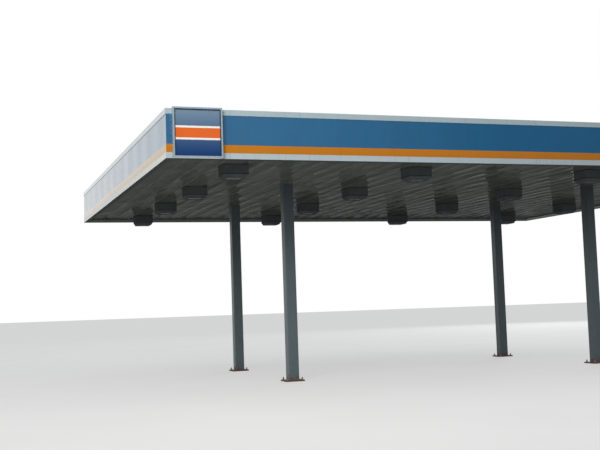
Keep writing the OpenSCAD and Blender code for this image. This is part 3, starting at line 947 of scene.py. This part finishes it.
def purlin_cleats():
    """Bolted angle cleats where the purlins meet the main beams' webs."""
    beam_web_half, purlin_web_half = 0.00385, 0.00305
    middle_z = STEEL_Z + PURLIN_H / 2
    shape = Shape("purlin_cleat", leg=0.075, plate=0.008, height=0.16)
    leg, plate, height = shape.sizes
    shape.block((plate, leg, height), (plate * 0.5, leg * 0.5, 0.0))
    shape.block((leg, plate, height), (leg * 0.5, plate * 0.5, 0.0))
    for z in (-0.052, 0.0, 0.052):
        shape.bolt_head(0.024, 0.01, (0.008, 0.046, z), TO_RIGHT)
        shape.prism(12, 0.0155, 0.003, (0.008, 0.046, z), TO_RIGHT)
        shape.bolt_head(0.024, 0.01, (0.046, 0.008, z), TO_REAR)
        shape.bolt_head(0.024, 0.013, (0.046, -0.0061, z), TO_FRONT)
    spots = [(x + side * beam_web_half, y + side * purlin_web_half, middle_z, 0.0, 0.0, turn)
             for y in PURLIN_YS for x in (-COLUMN_X, COLUMN_X)
             for side, turn in ((-1, HALF_TURN), (1, 0.0))]
    shape.set_on("purlin_cleats", spots, "bolt", "beam_paint", 9)


def arm_straps():
    """A bolted strap over each arm of the fascia frames, on the end purlins."""
    shape = Shape("arm_strap", bar=0.038, sheet=0.004, width=0.045)
    bar, sheet, width = shape.sizes
    half = bar * 0.5 + 0.002
    for side in (-1, 1):
        shape.block((0.046, width, sheet), ((bar * 0.5 + 0.023) * side, 0.0, 0.002))
        shape.block((sheet, width, bar + 0.004), (half * side, 0.0, half))
        shape.bolt_head(0.017, 0.007, (side * 0.045, 0.0, 0.004))
        shape.prism(12, 0.011, 0.002, (side * 0.045, 0.0, 0.004))
    shape.block((bar + 0.008, width, sheet), (0.0, 0.0, bar + 0.0022))
    spots = [(x, y, STEEL_Z + PURLIN_H) for y in (PURLIN_YS[0], PURLIN_YS[-1]) for x in ARM_XS]
    shape.set_on("arm_straps", spots, "bolt", "frame_steel", 11)


def gutter_hangers():
    """Bent straps that hold the gutters to the ribs of the pans."""
    inset = 0.0552
    shape = Shape("gutter_hanger", width=0.028, sheet=0.003, reach=0.15)
    width, sheet, reach = shape.sizes
    shape.block((width, reach, sheet), (0.0, reach * 0.5, 0.0016))
    shape.block((width, sheet, 0.046), (0.0, 0.0016, -0.02))
    shape.bolt_head(0.01, 0.005, (0.0, 0.14, 0.003))
    shape.bolt_head(0.01, 0.005, (0.0, 0.003, -0.031), TO_REAR)
    spots = [(x, y, STEEL_Z, 0.0, 0.0, turn) for x in RIB_XS[1::3]
             for y, turn in ((FRONT_Y + inset, 0.0), (REAR_Y - inset, HALF_TURN))]
    shape.set_on("gutter_hangers", spots, "bolt", "gutter_sheet", 13)


# Screws of the sheet metal and the covers

def screw_tree():
    """A hexagon screw with a washer under its head."""
    shape = Shape("sheet_screw", flats=0.008, head=0.0045)
    flats, head = shape.sizes
    shape.prism(12, flats * 0.9, 0.0012)
    shape.bolt_head(flats, head, (0.0, 0.0, 0.001))
    return shape.on_points(17, 3.1)


def set_screws():
    """Screws in the copings, trims, collars, doors, sign case and box covers."""
    coping = [(x, y, FASCIA_TOP - 0.028, -QUARTER, 0.0, turn)
              for x, y, turn in round_the_fascia(inset=0.08, step=0.4, margin=0.3)]
    trim = [(x, y, CLEARANCE, HALF_TURN, 0.0, turn)
            for x, y, turn in round_the_fascia(inset=0.058, step=0.45, margin=0.2)]
    round_collar = [(px, py) for px in (-0.166, 0.166) for py in (-0.15, 0.0, 0.15)]
    round_collar += [(px, py) for py in (-0.166, 0.166) for px in (-0.1, 0.1)]
    collar = [(x + px, y + py, SOFFIT_Z - 0.001, *DOWN) for x, y in COLUMNS
              for px, py in round_collar]
    door = [(x + px, y + py, DOOR_LOW, *DOWN) for x, y in LIGHTS
            for px in (-0.199, 0.199) for py in (-0.199, 0.0, 0.199)]
    margin, step, screw_y = 0.08, 0.2, FRONT_Y - 0.104
    sign = []
    for z in along(CLEARANCE + margin, CLEARANCE + SIGN_SIDE - margin, step):
        sign.append((SIGN_LEFT, screw_y, z, *TO_LEFT))
        sign.append((SIGN_LEFT + SIGN_SIDE, screw_y, z, *TO_RIGHT))
    for x in along(SIGN_LEFT + margin, SIGN_LEFT + SIGN_SIDE - margin, step):
        sign.append((x, screw_y, CLEARANCE, *DOWN))
    cover = [(*spot, BOX_TOP + 0.0035) for x in BOX_XS for y in LIGHT_YS
             for spot in corners_round(x, y, 0.066, 0.066)]
    tree = screw_tree()
    for name, spots, finish, slot, flats, head in (
            ("coping_screws", coping, "screw", "coping_paint", 0.008, 0.0045),
            ("trim_screws", trim, "screw", "trim_white", 0.008, 0.0035),
            ("collar_screws", collar, "collar_paint", "collar_paint", 0.007, 0.003),
            ("door_screws", door, "screw", "housing_paint", 0.008, 0.003),
            ("sign_screws", sign, "screw", "sign_case_metal", 0.008, 0.0035),
            ("cover_screws", cover, "screw", "wiring_metal", 0.007, 0.003)):
        make_piece(name, layout(spots), tree, finish, slot, flats=flats, head=head)


# Wiring on the deck

def box_covers():
    """Raised covers on the junction boxes."""
    shape = Shape("box_cover", side=0.156, sheet=0.0035)
    side, sheet = shape.sizes
    shape.block((side, side, sheet), (0.0, 0.0, sheet * 0.5))
    shape.block((side - 0.036, side - 0.036, 0.003), (0.0, 0.0, sheet + 0.0012))
    spots = [(x, y, BOX_TOP) for x in BOX_XS for y in LIGHT_YS]
    shape.set_on("box_covers", spots, "bright", "wiring_metal", 19)


def conduit_connectors():
    """Rings where the conduits enter the boxes, and in pairs where two lengths meet."""
    coupling_xs = (-5.18, -3.42, -0.52, 0.94, 3.3, 5.3)
    shape = Shape("conduit_connector", diameter=0.044, length=0.03)
    diameter, length = shape.sizes
    shape.prism(12, diameter * 0.5, length * 0.4)
    shape.prism(12, diameter * 0.42, length)
    spots = []
    for y in LIGHT_YS:
        for x in BOX_XS:
            if x < BOX_XS[-1]:
                spots.append((x + BOX_HALF, y, CONDUIT_Z, *TO_RIGHT))
            if x > BOX_XS[0]:
                spots.append((x - BOX_HALF, y, CONDUIT_Z, *TO_LEFT))
        spots += [(x, y, CONDUIT_Z, *turn) for x in coupling_xs for turn in (TO_RIGHT, TO_LEFT)]
    shape.set_on("conduit_connectors", spots, "bright", "wiring_metal", 21, 0.2)


def conduit_saddles():
    """Saddles with two screws where the conduits cross ribs."""
    shape = Shape("conduit_saddle", diameter=0.027, width=0.02)
    diameter, width = shape.sizes
    half = diameter * 0.5
    shape.block((width, 0.09, 0.012), (0.0, 0.0, -0.0198))
    for side in (-1, 1):
        shape.block((width, 0.002, diameter), (0.0, (half + 0.002) * side, 0.0))
        shape.block((width, 0.026, 0.002), (0.0, (half + 0.014) * side, -0.0128))
        shape.bolt_head(0.008, 0.004, (0.0, side * 0.034, -0.0118))
    shape.block((width, diameter + 0.006, 0.002), (0.0, 0.0, half + 0.002))
    crossed = [x for x in RIB_XS[1:18:4] + RIB_XS[-2:-19:-4]
               if clear_of_beams(x) and abs(x) < BOX_XS[-1]]
    spots = [(x, y, CONDUIT_Z) for x in crossed for y in LIGHT_YS]
    shape.set_on("conduit_saddles", spots, "bright", "wiring_metal", 23, 0.02)


# Lights

def ring_tree():
    """A mitred square ring of a flat bar. The profile is widened because a swept bar narrows
    where it turns a corner."""
    shape = Shape("square_ring", side=0.5, bar=0.006, height=0.006)
    side, bar, height = shape.sizes
    net = shape.net
    square = "GeometryNodeCurvePrimitiveQuadrilateral"
    path = net.out(square, {"Width": side, "Height": side})
    upright = net.out("GeometryNodeSetCurveNormal", {"Curve": path}, mode="Z_UP")
    profile = net.out(square, {"Width": bar * math.sqrt(2.0), "Height": height})
    shape.keep(net.out("GeometryNodeCurveToMesh", {"Curve": upright, "Profile Curve": profile}))
    return shape.on_points(25)


def light_rings():
    """Gaskets, rims and lens frames of the light housings."""
    tree = ring_tree()
    for name, side, bar, height, z, finish in (
            ("housing_gaskets", 0.512, 0.008, 0.012, SOFFIT_Z - 0.0062, "rubber"),
            ("door_gaskets", 0.509, 0.006, 0.006, DOOR_TOP + 0.0035, "rubber"),
            ("door_rims", 0.51, 0.01, 0.012, DOOR_TOP - 0.006, "housing_paint"),
            ("lens_frames", 0.372, 0.024, 0.004, DOOR_LOW - 0.0018, "housing_paint"),
            ("lens_gaskets", 0.341, 0.008, 0.006, LENS_LOW - 0.0035, "rubber")):
        make_piece(name, layout([(x, y, z) for x, y in LIGHTS]), tree, finish, "housing_paint",
                   side=side, bar=bar, height=height)


def light_latches():
    """Two latches and two hinges on the door of each light."""
    middle_z = DOOR_TOP + 0.012
    latch = Shape("door_latch", width=0.034, height=0.056)
    width, height = latch.sizes
    latch.block((width, 0.004, height), (0.0, 0.002, 0.0))
    latch.block((width * 0.62, 0.009, height * 0.7), (0.0, 0.0075, 0.003))
    latch.block((width * 0.9, 0.008, 0.01), (0.0, 0.01, -0.022))
    latch.prism(10, 0.004, 0.016, (0.0, 0.0, 0.016), TO_REAR)
    hinge = Shape("door_hinge", width=0.06, knuckle=0.012)
    width, knuckle = hinge.sizes
    hinge.block((width, 0.003, 0.05), (0.0, 0.0015, 0.0))
    hinge.prism(10, knuckle * 0.5, width, (width * -0.5, 0.006, 0.0), TO_RIGHT)
    for name, shape, seed, side, finish in (("door_latches", latch, 27, 1, "bright"),
                                            ("door_hinges", hinge, 29, -1, "housing_paint")):
        spots = [(x + side * HOUSING_HALF, y + t, middle_z, 0.0, 0.0, -side * QUARTER)
                 for x, y in LIGHTS for t in (-0.13, 0.13)]
        shape.set_on(name, spots, finish, "housing_paint", seed)


def lens_ribs():
    """Rows of low three-sided ribs on the lenses."""
    count, pitch = 21, 0.0156
    shape = Shape("lens_ribs", rib=0.018, length=0.33)
    rib, length = shape.sizes
    net = shape.net
    bar = net.out("GeometryNodeMeshCylinder", {"Vertices": 3, "Radius": rib * 0.5, "Depth": length})
    lying = shape.moved(bar, ZEROS, (QUARTER, QUARTER, 0.0))
    flat = net.out("GeometryNodeTransform", {"Geometry": lying, "Scale": (1.0, 1.0, 0.45)})
    row = net.out("GeometryNodeMeshLine", {
        "Count": count, "Start Location": (-pitch * (count - 1) / 2, 0.0, 0.0),
        "Offset": (pitch, 0.0, 0.0)})
    shape.keep(net.out("GeometryNodeInstanceOnPoints", {"Points": row, "Instance": flat}))
    spots = [(x, y, LENS_LOW - 0.0025) for x, y in LIGHTS]
    shape.set_on("lens_ribs", spots, "lens_glass", "lens_glass", 31)


# Seams and gaskets of the fascia and the sign

BLOCK_FACES = ((3, 2, 1, 0), (4, 5, 6, 7), (0, 1, 5, 4), (1, 2, 6, 5), (2, 3, 7, 6), (3, 0, 4, 7))


def solid(name, boxes, finish):
    """One piece of several blocks, each given by two opposite corners."""
    points, faces = [], []
    for ends in boxes:
        first = len(points)
        (x0, x1), (y0, y1), (z0, z1) = [sorted(pair) for pair in zip(*ends)]
        for z in (z0, z1):
            points += [(x0, y0, z), (x1, y0, z), (x1, y1, z), (x0, y1, z)]
        faces += [[first + corner for corner in face] for face in BLOCK_FACES]
    mesh = bpy.data.meshes.new(name)
    mesh.from_pydata(points, [], faces)
    mesh.materials.append(FINISHES[finish])
    piece = new_object(name, mesh)
    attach(piece, "root")


def panel_seams():
    """Strips that close the seams between the panels, with a splice behind each."""
    half_w = CANOPY_W / 2
    low, high = CLEARANCE + 0.003, FASCIA_TOP - 0.003
    seams = [(x, face, inward, False) for x in SEAM_XS
             for face, inward in ((FRONT_Y, 1), (REAR_Y, -1))]
    seams += [(y, face, inward, True) for y in SEAM_YS
              for face, inward in ((-half_w, 1), (half_w, -1))]
    for name, half, near, far, margin, slot in (
            ("seam_strips", 0.0029, 0.0115, 0.0139, 0.0, "panel_blue"),
            ("seam_splices", 0.034, 0.0141, 0.0162, 0.04, "frame_steel")):
        boxes = []
        for at, face, inward, on_short_side in seams:
            ends = [(at - half, face + inward * near), (at + half, face + inward * far)]
            if on_short_side:
                ends = [end[::-1] for end in ends]
            boxes.append(((*ends[0], low + margin), (*ends[1], high - margin)))
        solid(name, boxes, slot)


def sign_recess_shade():
    """A dark rubber lining in the recess round the sign's face, put there as painted shade."""
    inner, bar, deep = 0.032, 0.014, 0.024
    x0, x1 = SIGN_LEFT + inner, SIGN_LEFT + SIGN_SIDE - inner
    y0, y1 = SIGN_FACE_Y - deep, SIGN_FACE_Y
    z0, z1 = CLEARANCE + inner, CLEARANCE + SIGN_SIDE - inner
    boxes = [((x0, y0, z0), (x1, y1, z0 + bar)),
             ((x0, y0, z1 - bar), (x1, y1, z1)),
             ((x0, y0, z0 + bar), (x0 + bar, y1, z1 - bar)),
             ((x1 - bar, y0, z0 + bar), (x1, y1, z1 - bar))]
    # Painted shade: a dark lining where the recess falls in shadow.
    solid("sign_recess_shade", boxes, "rubber")


place_camera()
lay_floor()
light_scene()
dress_nodes()
for make in (anchor_bolts, weld_beads, cap_bolts, deck_clips, purlin_cleats, arm_straps,
             gutter_hangers, set_screws, box_covers, conduit_connectors, conduit_saddles,
             light_rings, light_latches, lens_ribs, panel_seams, sign_recess_shade):
    make()
